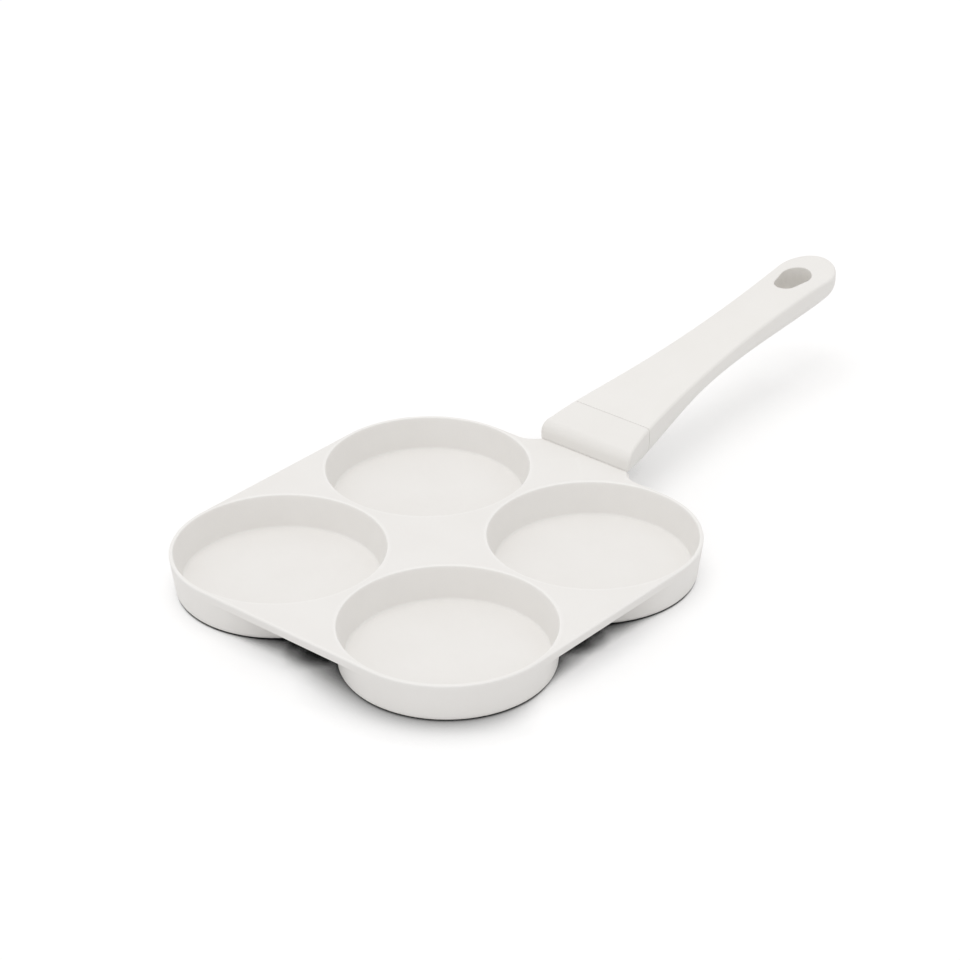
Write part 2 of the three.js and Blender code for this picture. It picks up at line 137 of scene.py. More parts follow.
# %% World and lights
SKY_COLOUR, SKY_LEVEL, SKY_SEEN = (1.0, 0.99, 0.985), 0.8, 1.02
KEY_LEVEL, KEY_ANGLE, KEY_BACK, KEY_RIGHT = 0.2, 40.0, 0.12, 0.08
FILL_LEVEL, FILL_ANGLE, FILL_WAY, FILL_COLOUR = 0.055, 90.0, (0.85, 0.15, -0.42), (1.0, 0.985, 0.98)

world = bpy.data.worlds.new("white_studio")
scene.world = world
world.use_nodes = True
sky_nodes = world.node_tree.nodes
sky_links = world.node_tree.links
sky = sky_nodes["Background"]
sky.inputs["Color"].default_value = (*SKY_COLOUR, 1.0)
sky_ray = sky_nodes.new("ShaderNodeLightPath")
sky_level = sky_nodes.new("ShaderNodeMapRange")
sky_level.inputs["To Min"].default_value = SKY_LEVEL
sky_level.inputs["To Max"].default_value = SKY_SEEN
sky_links.new(sky_ray.outputs["Is Camera Ray"], sky_level.inputs["Value"])
sky_links.new(sky_level.outputs["Result"], sky.inputs["Strength"])


def wide_sun(name, level, angle, way, colour=(1.0, 1.0, 1.0)):
    """A sun as soft as a large lamp, shining along a direction."""
    sun = bpy.data.lights.new(name, "SUN")
    sun.energy = level * math.pi
    sun.angle = math.radians(angle)
    sun.color = colour
    light = bpy.data.objects.new(name, sun)
    scene.collection.objects.link(light)
    light.rotation_euler = Vector(way).to_track_quat("-Z", "Y").to_euler()


key_lean = Vector((back.x, back.y, 0.0)) * KEY_BACK + level_right * KEY_RIGHT
wide_sun("overhead_softbox", KEY_LEVEL, KEY_ANGLE, (key_lean.x, key_lean.y, -1.0))
wide_sun("window_fill", FILL_LEVEL, FILL_ANGLE, FILL_WAY, FILL_COLOUR)
print(f"sky at {SKY_LEVEL}, overhead light at {KEY_LEVEL}, fill at {FILL_LEVEL}")

# %% The floor
FLOOR_HALF = 4.0
FLOOR_GAP = 0.0001
FLOOR_WHITE, FLOOR_GLOW, FLOOR_BOUNCE = 0.65, 0.37, 0.83
FLOOR_ROUGHNESS = 0.9

floor_mesh = bpy.data.meshes.new("studio_floor")
corners = [(x * FLOOR_HALF, y * FLOOR_HALF) for x, y in ((-1, -1), (1, -1), (1, 1), (-1, 1))]
floor_mesh.from_pydata([(x, y, -FLOOR_GAP) for x, y in corners], [], [(0, 1, 2, 3)])
floor = bpy.data.objects.new("studio_floor", floor_mesh)
scene.collection.objects.link(floor)

paper = bpy.data.materials.new("white_paper")
paper.use_nodes = True
floor_mesh.materials.append(paper)
paper_nodes = paper.node_tree.nodes
paper_links = paper.node_tree.links
paper_shader = paper_nodes["Principled BSDF"]
paper_shader.inputs["Roughness"].default_value = FLOOR_ROUGHNESS
paper_shader.inputs["Specular IOR Level"].default_value = 0.0
paper_shader.inputs["Emission Color"].default_value = (1.0, 1.0, 1.0, 1.0)
print(f"floor of {2 * FLOOR_HALF:.0f} m, {FLOOR_GAP * 1000:.1f} mm under the feet")

# %% The contact shadow, and the floor's white
SHADOW_REACH, SHADOW_SAMPLES = 0.025, 16
SHADOW_FRONT, SHADOW_BACK = (0.05, 1.0), (0.22, 0.47)
FADE_WAY, FADE_START, FADE_END = (1.0, 0.5, 0.0), -0.22, -0.175


def floor_math(operation, first, second):
    """Two numbers of the floor's finish put together. The second may be a plain one."""
    node = paper_nodes.new("ShaderNodeMath")
    node.operation = operation
    paper_links.new(first, node.inputs[0])
    if isinstance(second, float):
        node.inputs[1].default_value = second
    else:
        paper_links.new(second, node.inputs[1])
    return node.outputs[0]


ray = paper_nodes.new("ShaderNodeLightPath")
seen = ray.outputs["Is Camera Ray"]
for kind in ("Is Glossy Ray", "Is Transmission Ray"):
    seen = floor_math("MAXIMUM", seen, ray.outputs[kind])
closeness = paper_nodes.new("ShaderNodeAmbientOcclusion")
closeness.inputs["Distance"].default_value = SHADOW_REACH
closeness.samples = SHADOW_SAMPLES
clear = paper_nodes.new("ShaderNodeMapRange")
clear.interpolation_type = "SMOOTHSTEP"
paper_links.new(closeness.outputs["AO"], clear.inputs["Value"])
where = paper_nodes.new("ShaderNodeTexCoord")
along = paper_nodes.new("ShaderNodeVectorMath")
along.operation = "DOT_PRODUCT"
along.inputs[1].default_value = FADE_WAY
paper_links.new(where.outputs["Object"], along.inputs[0])
for end, front, rear in zip(("From Min", "From Max"), SHADOW_FRONT, SHADOW_BACK):
    fade = paper_nodes.new("ShaderNodeMapRange")
    fade.interpolation_type = "SMOOTHSTEP"
    fade.inputs["From Min"].default_value = FADE_START
    fade.inputs["From Max"].default_value = FADE_END
    fade.inputs["To Min"].default_value = front
    fade.inputs["To Max"].default_value = rear
    paper_links.new(along.outputs["Value"], fade.inputs["Value"])
    paper_links.new(fade.outputs["Result"], clear.inputs[end])
glow = floor_math("MULTIPLY", clear.outputs["Result"], FLOOR_GLOW)
paper_links.new(floor_math("MULTIPLY", glow, seen), paper_shader.inputs["Emission Strength"])
white = floor_math("MULTIPLY", clear.outputs["Result"], FLOOR_WHITE)
tone = paper_nodes.new("ShaderNodeMix")
tone.data_type = "RGBA"
tone.inputs["A"].default_value = (FLOOR_BOUNCE, FLOOR_BOUNCE, FLOOR_BOUNCE, 1.0)
paper_links.new(seen, tone.inputs["Factor"])
paper_links.new(white, tone.inputs["B"])
paper_links.new(tone.outputs["Result"], paper_shader.inputs["Base Color"])
print(f"contact shadow under metal that is closer than {SHADOW_REACH * 1000:.0f} mm")

# %% [markdown]
# ## Finishes
# The casting and the collar wear a sprayed ceramic coat: a satin cream with the faint orange peel
# of spray, paler where it runs over an edge: the coat is a little thinner there, and the paler tone
# is also a painted highlight. The grip is moulded in the same cream, with a finer and more even grain,
# and its own hollows, such as the hanging hole, get painted shade. Noise in object space gives the
# tones, satin and grain with no image, and a number on each vertex, called edge, tells where it is
# paler.

# %% Helpers for the finishes
NOISE_LOW, NOISE_HIGH = 0.3, 0.7


def noise(tree, scale, detail, low, high, source):
    """A noise field stretched to the range from low to high."""
    field = tree.nodes.new("ShaderNodeTexNoise")
    field.inputs["Scale"].default_value = scale
    field.inputs["Detail"].default_value = detail
    tree.links.new(source, field.inputs["Vector"])
    spread = tree.nodes.new("ShaderNodeMapRange")
    spread.inputs["From Min"].default_value = NOISE_LOW
    spread.inputs["From Max"].default_value = NOISE_HIGH
    spread.inputs["To Min"].default_value = low
    spread.inputs["To Max"].default_value = high
    tree.links.new(field.outputs["Fac"], spread.inputs["Value"])
    return spread.outputs["Result"]


def blend_colours(tree, share, first, second):
    """A colour between two, either of which may come from another node."""
    mix = tree.nodes.new("ShaderNodeMix")
    mix.data_type = "RGBA"
    tree.links.new(share, mix.inputs["Factor"])
    for socket, colour in ((mix.inputs["A"], first), (mix.inputs["B"], second)):
        if isinstance(colour, tuple):
            socket.default_value = (*colour, 1.0)
        else:
            tree.links.new(colour, socket)
    return mix.outputs["Result"]


def grain(tree, shader, height, strength, distance):
    """Bump from a height field."""
    bump = tree.nodes.new("ShaderNodeBump")
    bump.inputs["Strength"].default_value = strength
    bump.inputs["Distance"].default_value = distance
    tree.links.new(height, bump.inputs["Height"])
    tree.links.new(bump.outputs["Normal"], shader.inputs["Normal"])


print(f"noise is stretched from {NOISE_LOW}..{NOISE_HIGH} to the range that each use needs")

# %% The coat and the moulding
CLOUD_SCALE, CLOUD_DETAIL = 38.0, 3.0
SATIN_SCALE, SATIN_DETAIL, SATIN_SPREAD = 140.0, 4.0, 0.05
PEEL_DETAIL, PEEL_STRENGTH = 2.0, 0.35
CREAM_SHINE = 0.4
PAINTED_SHADE_REACH, PAINTED_SHADE_SAMPLES = 0.018, 8


def cream_finish(name, cream, shade, pale, satin, peel_scale, peel_depth, painted_hollow_shade=None):
    """A cream surface: two close tones, a paler edge that is partly a painted highlight, painted shade
    in hollows, uneven satin, a fine grain.
    """
    material = bpy.data.materials.new(name)
    material.use_nodes = True
    tree = material.node_tree
    shader = tree.nodes["Principled BSDF"]
    place = tree.nodes.new("ShaderNodeTexCoord").outputs["Object"]
    cloud = noise(tree, CLOUD_SCALE, CLOUD_DETAIL, 0.0, 1.0, place)
    tone = blend_colours(tree, cloud, cream, shade)
    # Painted shade: where the piece's own surfaces close in round a point, as in the hanging hole, the
    # base colour darkens towards the given tone.
    if painted_hollow_shade is not None:
        painted_shade_ao = tree.nodes.new("ShaderNodeAmbientOcclusion")
        painted_shade_ao.inputs["Distance"].default_value = PAINTED_SHADE_REACH
        painted_shade_ao.samples = PAINTED_SHADE_SAMPLES
        painted_shade_ao.only_local = True
        tone = blend_colours(tree, painted_shade_ao.outputs["AO"], painted_hollow_shade, tone)
    # Painted highlight in part: the colour turns paler where the vertex number edge is high, on the
    # mouths' lips and the plate's top edge, where the coat is also a little thinner.
    edge_coat_and_highlight = tree.nodes.new("ShaderNodeAttribute")
    edge_coat_and_highlight.attribute_name = "edge"
    tone = blend_colours(tree, edge_coat_and_highlight.outputs["Fac"], tone, pale)
    tree.links.new(tone, shader.inputs["Base Color"])
    sheen = noise(tree, SATIN_SCALE, SATIN_DETAIL, satin - SATIN_SPREAD, satin + SATIN_SPREAD, place)
    tree.links.new(sheen, shader.inputs["Roughness"])
    peel = noise(tree, peel_scale, PEEL_DETAIL, 0.0, 1.0, place)
    grain(tree, shader, peel, PEEL_STRENGTH, peel_depth)
    shader.inputs["Specular IOR Level"].default_value = CREAM_SHINE
    return material


# Each coat's third colour is its paler edge: a thinner coat, and a painted highlight too.
ceramic_coat = cream_finish(
    "cream_ceramic_coat", (0.848, 0.836, 0.815), (0.833, 0.819, 0.796), (0.90, 0.89, 0.872),
    satin=0.46, peel_scale=900.0, peel_depth=0.00006)
collar_coat = cream_finish(
    "cream_collar_coat", (0.838, 0.826, 0.801), (0.823, 0.809, 0.783), (0.89, 0.88, 0.857),
    satin=0.48, peel_scale=1000.0, peel_depth=0.00005)
# The grip's last colour is painted shade inside its hollows, such as the hanging hole.
moulding = cream_finish(
    "cream_moulding", (0.848, 0.836, 0.811), (0.835, 0.821, 0.794), (0.88, 0.87, 0.848),
    satin=0.52, peel_scale=2600.0, peel_depth=0.00004, painted_hollow_shade=(0.66, 0.635, 0.59))
print("cream finishes:", ceramic_coat.name, collar_coat.name, moulding.name)

# %% Steel for the fasteners
STEEL_LIGHT, STEEL_DARK = (0.58, 0.585, 0.59), (0.46, 0.465, 0.475)
MARK_STRETCH, MARK_STRENGTH, MARK_DEPTH = (9000.0, 700.0, 700.0), 0.25, 0.00002
STEEL_DETAIL = 3.0
STEEL_SATIN_SCALE, STEEL_SATIN_LOW, STEEL_SATIN_HIGH = 900.0, 0.26, 0.42


def turned_steel():
    """Plain steel with fine marks drawn out in one direction."""
    material = bpy.data.materials.new("plain_turned_steel")
    material.use_nodes = True
    tree = material.node_tree
    shader = tree.nodes["Principled BSDF"]
    shader.inputs["Metallic"].default_value = 1.0
    place = tree.nodes.new("ShaderNodeTexCoord").outputs["Object"]
    stretch = tree.nodes.new("ShaderNodeMapping")
    stretch.inputs["Scale"].default_value = MARK_STRETCH
    tree.links.new(place, stretch.inputs["Vector"])
    marks = noise(tree, 1.0, STEEL_DETAIL, 0.0, 1.0, stretch.outputs["Vector"])
    tone = blend_colours(tree, marks, STEEL_LIGHT, STEEL_DARK)
    tree.links.new(tone, shader.inputs["Base Color"])
    sheen = noise(tree, STEEL_SATIN_SCALE, STEEL_DETAIL, STEEL_SATIN_LOW, STEEL_SATIN_HIGH, place)
    tree.links.new(sheen, shader.inputs["Roughness"])
    grain(tree, shader, marks, MARK_STRENGTH, MARK_DEPTH)
    return material


steel = turned_steel()
print("steel finish:", steel.name)

# %% [markdown]
# ## Making and joining meshes
# Every piece below is computed point by point, so that its curves follow the solids' own formulas.
# A few helpers put such points into a mesh, weld the points that meet, cut one closed mesh with
# another, and hand the result to the frame.

# %% Mesh helpers
WELD = 2e-6
SHARP_ANGLE = 30.0


def weld(mesh):
    """Joins points that meet, drops faces of no size and turns all faces outwards."""
    shape = bmesh.new()
    shape.from_mesh(mesh)
    bmesh.ops.remove_doubles(shape, verts=shape.verts, dist=WELD)
    bmesh.ops.dissolve_degenerate(shape, edges=shape.edges, dist=WELD)
    bmesh.ops.recalc_face_normals(shape, faces=shape.faces)
    shape.to_mesh(mesh)
    shape.free()


def new_object(name, points, faces):
    """A welded mesh object from points in millimetres about the cups' middle."""
    mesh = bpy.data.meshes.new(name)
    mesh.from_pydata([tuple(p) for p in to_frame(points)], [], faces)
    weld(mesh)
    obj = bpy.data.objects.new(name, mesh)
    scene.collection.objects.link(obj)
    return obj


def bake(obj):
    """Puts the result of an object's modifiers into its mesh."""
    graph = bpy.context.evaluated_depsgraph_get()
    result = bpy.data.meshes.new_from_object(obj.evaluated_get(graph))
    obj.modifiers.clear()
    old = obj.data
    obj.data = result
    bpy.data.meshes.remove(old)
    result.name = obj.name


def combine(target, tool, operation):
    """Adds or cuts one closed mesh by another, and removes the tool."""
    step = target.modifiers.new(operation.lower(), "BOOLEAN")
    step.operation = operation
    step.solver = "EXACT"
    step.object = tool
    bake(target)
    bpy.data.objects.remove(tool)


def open_edges(obj):
    """How many edges don't join exactly two faces."""
    shape = bmesh.new()
    shape.from_mesh(obj.data)
    count = sum(1 for edge in shape.edges if len(edge.link_faces) != 2)
    shape.free()
    return count


def hand_over(obj, material, node, sharp=SHARP_ANGLE, pale_edge=None):
    """Shades a finished piece, gives it its finish and puts it in place of its node."""
    weld(obj.data)
    obj.data.materials.clear()
    obj.data.materials.append(material)
    obj.data.polygons.foreach_set("use_smooth", [True] * len(obj.data.polygons))
    obj.data.set_sharp_from_angle(angle=math.radians(sharp))
    step = obj.modifiers.new("normals", "WEIGHTED_NORMAL")
    step.keep_sharp = True
    bake(obj)
    mesh = obj.data
    # The edge number marks where the coat is paler: a thinner coat, and a painted highlight.
    if pale_edge is not None:
        places = np.empty(len(mesh.vertices) * 3)
        mesh.vertices.foreach_get("co", places)
        places = places.reshape(-1, 3) * 1000 - (middle_x, 0.0, 0.0)
        edge_coat_and_highlight = mesh.attributes.new("edge", "FLOAT", "POINT")
        edge_coat_and_highlight.data.foreach_set("value", pale_edge(places))
    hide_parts(node)
    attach(obj, "root")
    print(f"{obj.name}: {len(mesh.polygons)} faces, {open_edges(obj)} open edges")


print(f"points closer than {WELD * 1000} mm are joined, edges over {SHARP_ANGLE} degrees stay sharp")

# %% [markdown]
# ## The casting
# Plate, skirt and cups are one die casting. Cutting cups from a plate with booleans would work, but
# it leaves ragged facets round each mouth. Every cup has its own quarter of the plate, so here each
# quarter is spun from its cup's middle: a ray at every angle carries one section of the metal, from
# the foot, up the outer wall, under the plate, round the skirt, over the top and down into the well.
# Close beside each round the section has one point more, so that smooth shading ends at the round
# and the flat faces stay flat to the eye.

# %% The plate's outline
SKIRT_HEIGHT = 4.7
SKIRT_WIDTH = 2.4
PLATE_THICKNESS = 3.2
LUG_REACH = 5.0
FLARE_LENGTH = 9.0
FRONT_WIDTH, FOOT_FLARE = 50.6, 0.9
LUG_EDGE_SHARE = 0.2
FLARE_STEPS, CORNER_STEPS = 24, 90


def outline(inset, lug):
    """A quarter of the plate's outline, from the handle's line round the corner, less an inset."""
    edge = plate_edge - inset
    points = []
    if lug:
        lug_half = FRONT_WIDTH / 2 + FOOT_FLARE - inset
        flare = FLARE_LENGTH + inset
        lug_end = plate_edge + LUG_REACH - LUG_EDGE_SHARE * inset
        points.append((lug_end, 0.0))
        for angle in np.linspace(0.0, math.pi / 2, FLARE_STEPS + 1):
            x = lug_end - (lug_end - edge) * math.sin(angle)
            points.append((x, lug_half + flare * (1 - math.cos(angle))))
    else:
        points.append((edge, 0.0))
    radius = corner_radius - inset
    for angle in np.linspace(0.0, math.pi / 2, CORNER_STEPS + 1):
        points.append((half_pitch + radius * math.cos(angle), half_pitch + radius * math.sin(angle)))
    points.append((0.0, edge))
    return np.array(points)


def reach(line, angle):
    """How far an outline lies from the cup's middle, along a ray."""
    spokes = line - half_pitch
    angles = np.arctan2(spokes[:, 1], spokes[:, 0])
    after = int(np.clip(np.searchsorted(angles, angle), 1, len(line) - 1))
    start, step = spokes[after - 1], spokes[after] - spokes[after - 1]
    facing = math.cos(angle) * step[1] - math.sin(angle) * step[0]
    return (start[0] * step[1] - start[1] * step[0]) / facing


print(f"plate {2 * plate_edge:.1f} mm across, with a lug {FRONT_WIDTH + 2 * FOOT_FLARE:.1f} mm wide")

# %% Rounds and walls of one section
FOOT_ROUND = 3.0
FLOOR_FILLET = 1.2
LIP_ROUND = 0.7
POCKET_FILLET = 1.2
SKIRT_CHAMFER = 0.5
ROUND_STEPS = 6
HOLD = 1.2

skirt_low = plate_top - SKIRT_HEIGHT
under = plate_top - PLATE_THICKNESS


def arc(radius, height, size, start, stop, steps=ROUND_STEPS):
    """Points of a round as pairs of radius and height, between two angles in degrees."""
    turn = np.radians(np.linspace(start, stop, steps + 1))
    return [(radius + size * math.cos(t), height + size * math.sin(t)) for t in turn]


def outer_wall(z):
    """The cup's outer radius at a height."""
    return corner_radius - (plate_top - z) * OUTER_DRAFT


def well_wall(z):
    """The well's radius at a height."""
    return MOUTH_RADIUS - (plate_top - z) * WELL_DRAFT


def root(size):
    """The round between the outer wall and the plate's underside."""
    return arc(outer_wall(under - size) + size, under - size, size, 180, 90)


wall_low = outer_wall(skirt_low)
foot = arc(outer_wall(FOOT_ROUND) - FOOT_ROUND, FOOT_ROUND, FOOT_ROUND, -90, 0)
foot.append((outer_wall(skirt_low - POCKET_FILLET), skirt_low - POCKET_FILLET))
lip_centre = well_wall(plate_top - LIP_ROUND) + LIP_ROUND
lip = arc(lip_centre, plate_top - LIP_ROUND, LIP_ROUND, 90, 180)
fillet_top = FLOOR_THICKNESS + FLOOR_FILLET
wall_top = plate_top - LIP_ROUND - HOLD
well = [(well_wall(wall_top), wall_top), (well_wall(fillet_top + HOLD), fillet_top + HOLD)]
well += arc(well_wall(fillet_top) - FLOOR_FILLET, fillet_top, FLOOR_FILLET, -WELL_LEAN, -90)
print(f"a foot {2 * foot[0][0]:.1f} mm across, a well floor {2 * well[-1][0]:.1f} mm across")

# %% One ray through the metal
SHUT_GAP, FILLET_SHARE, BEVEL_SHARE = 0.05, 0.45, 0.4
POCKET_POINTS = ROUND_STEPS + 4


def pocket(inner):
    """From the outer wall, round under the plate to the skirt's inside.
    It closes up to one point where the skirt meets the cup."""
    gap = inner - outer_wall(under)
    if gap < SHUT_GAP:
        return [(wall_low, skirt_low)] * POCKET_POINTS
    points = root(min(POCKET_FILLET, FILLET_SHARE * gap))
    points.append((inner, under))
    return points + [(inner, skirt_low + SKIRT_CHAMFER), (inner + SKIRT_CHAMFER, skirt_low)]


def skirt(inner_low, low):
    """The skirt's lower edge, its outside and its top round, as pairs of inset and height."""
    bevel = min(SKIRT_CHAMFER, BEVEL_SHARE * max(low - inner_low, 0.0))
    points = [(SKIRT_HEIGHT * OUTER_DRAFT + bevel, skirt_low)]
    points.append(((SKIRT_HEIGHT - bevel) * OUTER_DRAFT, skirt_low + bevel))
    points.append(((EDGE_ROUND + HOLD) * OUTER_DRAFT, plate_top - EDGE_ROUND - HOLD))
    for turn in np.radians(np.linspace(0, 90, ROUND_STEPS + 1)):
        z = plate_top - EDGE_ROUND * (1 - math.sin(turn))
        points.append(((plate_top - z) * OUTER_DRAFT + EDGE_ROUND * (1 - math.cos(turn)), z))
    return points


print(f"on each ray {len(foot) + POCKET_POINTS} points up to the skirt, {len(skirt(0.0, 1.0))} round it")

# %% Spin one quarter
RAY_STEP, RAY_GAP = math.radians(1.5), 0.004
HOLD_SHARE = 0.4
FULL_TURN = 2 * math.pi


def rays(stops):
    """Rays at even steps between the first stop and the last, and one at each stop."""
    low, high = math.ceil(stops[0] / RAY_STEP), math.floor(stops[-1] / RAY_STEP)
    grid = np.arange(low, high + 1) * RAY_STEP
    return sorted([*stops, *(a for a in grid if min(abs(a - stop) for stop in stops) > RAY_GAP)])


def quarter(lug):
    """Points and rays of one cup's quarter of the casting, where x and y are positive."""
    skirt_inside = outline(SKIRT_WIDTH, False)
    plate = outline(0.0, lug)
    ends = np.array((plate[0], plate[-1], skirt_inside[0], skirt_inside[-1])) - half_pitch
    first, last, corner_first, corner_last = np.arctan2(ends[:, 1], ends[:, 0])
    corner_first += FULL_TURN
    outer = rays([first, last])
    inner = rays([last, corner_last, corner_first, first + FULL_TURN])[1:-1]
    insets = {}

    def on_outline(inset, angle):
        """The spoke to the outline drawn in by an inset. Its two ends are taken as they are."""
        if inset not in insets:
            insets[inset] = outline(inset, lug)
        line = insets[inset]
        if angle == first:
            return line[0] - half_pitch
        if angle == last:
            return line[-1] - half_pitch
        return reach(line, angle) * np.array((math.cos(angle), math.sin(angle)))

    points, below, band, above = [], [], [], []

    def put(spoke, z):
        """Adds a point on a spoke from the cup's middle, and gives its number."""
        points.append((half_pitch + spoke[0], half_pitch + spoke[1], z))
        return len(points) - 1

    for angle in outer + inner:
        way = np.array((math.cos(angle), math.sin(angle)))
        chain = [put(radius * way, z) for radius, z in foot]
        sides = []
        # A ray ends at the plate's edge, or else at a middle line between two cups.
        if angle <= last:
            edge_spoke = on_outline(EDGE_ROUND, angle)
        else:
            edge_spoke = way * half_pitch / max(-way[0], -way[1])
        if angle <= corner_last or angle >= corner_first:
            # The ray meets the skirt: a pocket under the plate, and the skirt's foot.
            cut = pocket(reach(skirt_inside, angle if angle <= corner_last else angle - FULL_TURN))
            chain += [put(radius * way, z) for radius, z in cut[:-1]]
            along = {corner_first: (1.0, 0.0), corner_last: (0.0, 1.0)}.get(angle)
            shoulder = cut[-1][0] * way
            if along is not None:
                shoulder = edge_spoke + SKIRT_CHAMFER * np.array(along)
            chain.append(put(shoulder, skirt_low))
            if angle <= last:
                low = on_outline(SKIRT_HEIGHT * OUTER_DRAFT, angle)
                for inset, z in skirt(cut[-1][0], float(np.linalg.norm(low))):
                    sides.append(put(on_outline(inset, angle), z))
                chain.append(sides[0])
            else:
                chain.append(put(edge_spoke, skirt_low) if along is None else chain[-1])
        else:
            # The ray runs between the cups: a round, and the plate's plain underside.
            chain += [put(radius * way, z) for radius, z in root(POCKET_FILLET)]
            chain += [put(edge_spoke, under)] * 4
        top = [sides[-1] if sides else put(edge_spoke, plate_top)]
        flat = way * lip[0][0] - edge_spoke
        margin = min(HOLD / np.linalg.norm(flat), HOLD_SHARE)
        top += [put(edge_spoke + share * flat, plate_top) for share in (margin, 1 - margin)]
        top += [put(radius * way, z) for radius, z in lip + well]
        below.append(chain)
        band.append(sides)
        above.append(top)
    return points, below, band, above, len(outer)


quarters = {1: quarter(True), -1: quarter(False)}
for sign_x, (points, below, _, _, outer_count) in quarters.items():
    side = "handle's" if sign_x > 0 else "far"
    print(f"{side} quarters: {len(points)} points on {len(below)} rays, {outer_count} to the outer edge")

# %% Join four quarters and close the casting
MIDDLE_SLACK = 1e-6


def skin(points, below, band, above, outer_count):
    """Faces between neighbouring rays, and the fans that close the foot and the well's floor."""
    faces = []

    def strip(one, two):
        """Faces between two chains of points, apart from those that lie in a middle plane."""
        for i in range(len(one) - 1):
            corners = list(dict.fromkeys([one[i], one[i + 1], two[i + 1], two[i]]))
            off_middle = np.abs([points[c][:2] for c in corners]).max(axis=0).min() > MIDDLE_SLACK
            if len(corners) > 2 and off_middle:
                faces.append(corners)

    count = len(below)
    points.append((half_pitch, half_pitch, 0.0))
    points.append((half_pitch, half_pitch, FLOOR_THICKNESS))
    foot_centre, floor_centre = len(points) - 2, len(points) - 1
    for i in range(count):
        j = (i + 1) % count
        strip(below[i], below[j])
        strip(above[i], above[j])
        if i < outer_count - 1:
            strip([below[i][-1], *band[i]], [below[j][-1], *band[j]])
        faces.append([foot_centre, below[i][0], below[j][0]])
        faces.append([floor_centre, above[i][-1], above[j][-1]])
    return faces


cast_points, cast_faces = [], []
for sign_x, parts in quarters.items():
    quarter_faces = skin(*parts)
    for sign_y in (1, -1):
        start = len(cast_points)
        cast_points += [(sign_x * x, sign_y * y, z) for x, y, z in parts[0]]
        cast_faces += [[start + i for i in face] for face in quarter_faces]
casting = new_object("pan_casting", cast_points, cast_faces)
print(f"casting: {len(casting.data.polygons)} faces, {open_edges(casting)} open edges")

# %% [markdown]
# ## The handle's lines
# The handle is drawn as a designer would: one line for the top, one for the underside and one for
# the half width, each smooth through a few stations. A section anywhere along it follows from them:
# a slightly crowned top, a round edge, a short upright side and a full round underside.

# %% Stations along the handle
CLEARANCE = 0.3
COLLAR_LENGTH = 19.3
WAIST_WIDTH, TAIL_WIDTH, WAIST_DISTANCE = 26.6, 29.6, 105.0
FOOT_FLARE_LENGTH = 8.0
TOPS = (7.6, 12.5, 19.9, 30.8, 32.86)
THICKNESSES = (11.3, 17.9, 11.8, 15.1, 8.96)
HOLLOW_DISTANCE, TAIL_DISTANCE = 54.0, 140.0

collar_front = plate_edge + LUG_REACH + CLEARANCE
seam = collar_front + COLLAR_LENGTH
grip_front = seam + CLEARANCE
tail_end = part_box("handle_grip")[1][0] * 1000 - middle_x
tail_radius = TAIL_WIDTH / 2
tail_centre = tail_end - tail_radius
waist = seam + WAIST_DISTANCE
stations = np.array((collar_front, seam, seam + HOLLOW_DISTANCE, seam + TAIL_DISTANCE, tail_end))


def smooth_line(values):
    """A smooth line through the stations' values."""
    slopes = np.diff(values) / np.diff(stations)
    tangents = np.empty(len(values))
    tangents[1:-1] = (values[2:] - values[:-2]) / (stations[2:] - stations[:-2])
    tangents[0] = 2 * slopes[0] - tangents[1]
    tangents[-1] = 2 * slopes[-1] - tangents[-2]

    def at(x):
        i = int(np.clip(np.searchsorted(stations, x) - 1, 0, len(values) - 2))
        span = stations[i + 1] - stations[i]
        t = (x - stations[i]) / span
        rise = t * t * (3 - 2 * t)
        bend = t * (1 - t) * ((1 - t) * tangents[i] - t * tangents[i + 1]) * span
        return values[i] * (1 - rise) + values[i + 1] * rise + bend

    return at


handle_top = smooth_line(plate_top + np.array(TOPS))
handle_bottom = smooth_line(plate_top + np.array(TOPS) - np.array(THICKNESSES))


def half_width(x):
    """Half the width: two parabolas that meet at the waist, and a small flare at the collar's foot."""
    width, origin = (FRONT_WIDTH, collar_front) if x < waist else (TAIL_WIDTH, tail_centre)
    along = (x - waist) / (origin - waist)
    flare = max(collar_front + FOOT_FLARE_LENGTH - x, 0.0) / FOOT_FLARE_LENGTH
    return (WAIST_WIDTH + (width - WAIST_WIDTH) * along**2) / 2 + FOOT_FLARE * flare**2


print(f"collar from {collar_front:.1f} to {seam:.1f} mm, grip to {tail_end:.1f} mm")

# %% Half a section
TOP_ROUND, CHEEK_ROUND = 1.5, 1.5
FRONT_SIDE_SHARE, SIDE_SHARE = 0.36, 0.3
TAIL_CROWN = 1.9
SQUARENESS = 3.0
TOP_STEPS, EDGE_STEPS, UNDER_STEPS = 8, 8, 28


def crown_at(x):
    """How far the top falls from its middle to its edge: nothing at the seam, most at the tail."""
    return TAIL_CROWN * max(x - seam, 0.0) / (tail_end - seam)


def side_share(x):
    """The upright side's share of the height, larger at the collar's front."""
    fade = min(max((seam - x) / COLLAR_LENGTH, 0.0), 1.0)
    return SIDE_SHARE + (FRONT_SIDE_SHARE - SIDE_SHARE) * fade


